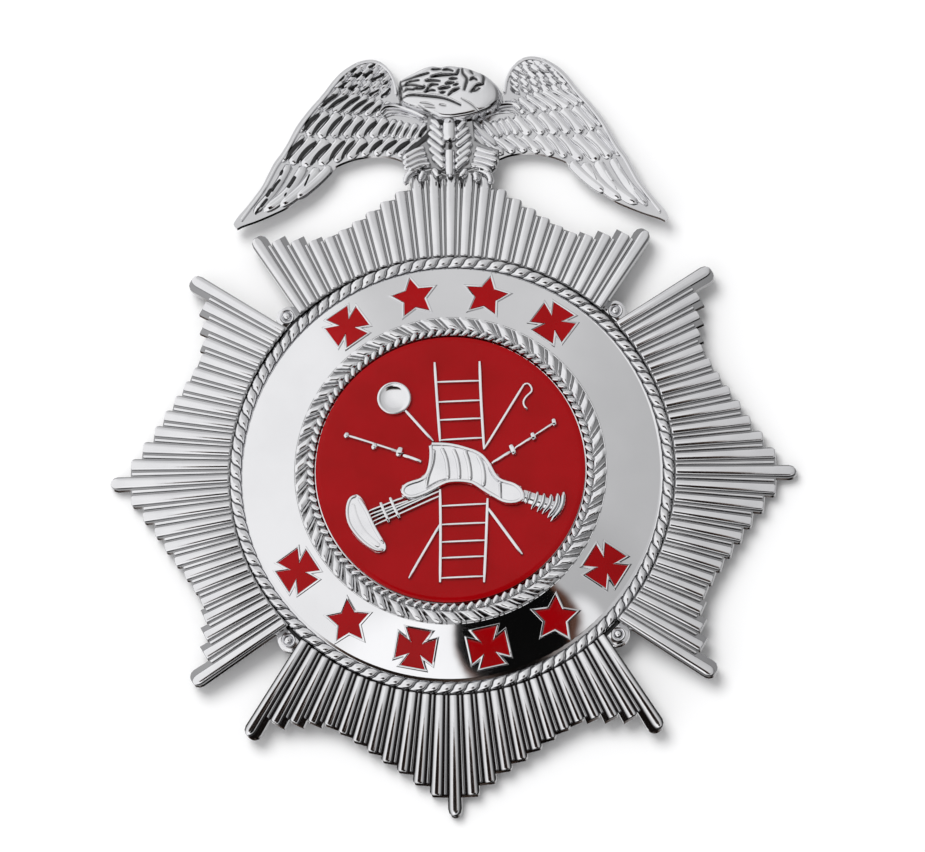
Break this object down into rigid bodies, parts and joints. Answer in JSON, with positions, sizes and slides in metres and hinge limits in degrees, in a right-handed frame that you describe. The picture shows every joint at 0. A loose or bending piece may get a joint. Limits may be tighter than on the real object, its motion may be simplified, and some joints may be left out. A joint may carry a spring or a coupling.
{
  "type": "firefighter badge",
  "caption": "Domed breast badge for a firefighter: a sunburst of rays, a spread eagle on top, a rope rim, a wreath and a red enamelled centre with a helmet, ladder and trumpet.",
  "frame": {"origin": "middle of the badge's outline, on the surface on which it lies face up", "axes": "+X to the right of someone who looks at its face, +Y from the lowest ray to the eagle, +Z out of the face"},
  "size_m": [0.0686, 0.0772, 0.0062],
  "materials": {
    "polished_plate": "bright nickel or chrome plate over brass, polished",
    "red_enamel": "glossy deep red enamel",
    "pin_steel": "plain drawn steel, satin"
  },
  "bodies": {
    "root": {"sunburst": "polished_plate", "eagle": "polished_plate", "roundel": "polished_plate", "rope_rim": "polished_plate", "wreath": "polished_plate", "emblem": "polished_plate", "enamel_field": "red_enamel", "enamel_top_1": "red_enamel", "enamel_top_2": "red_enamel", "enamel_top_3": "red_enamel", "enamel_top_4": "red_enamel", "enamel_low_1": "red_enamel", "enamel_low_2": "red_enamel", "enamel_low_3": "red_enamel", "enamel_low_4": "red_enamel", "enamel_low_5": "red_enamel", "enamel_low_6": "red_enamel", "pin_clasp": "pin_steel"}
  },
  "joints": []
}
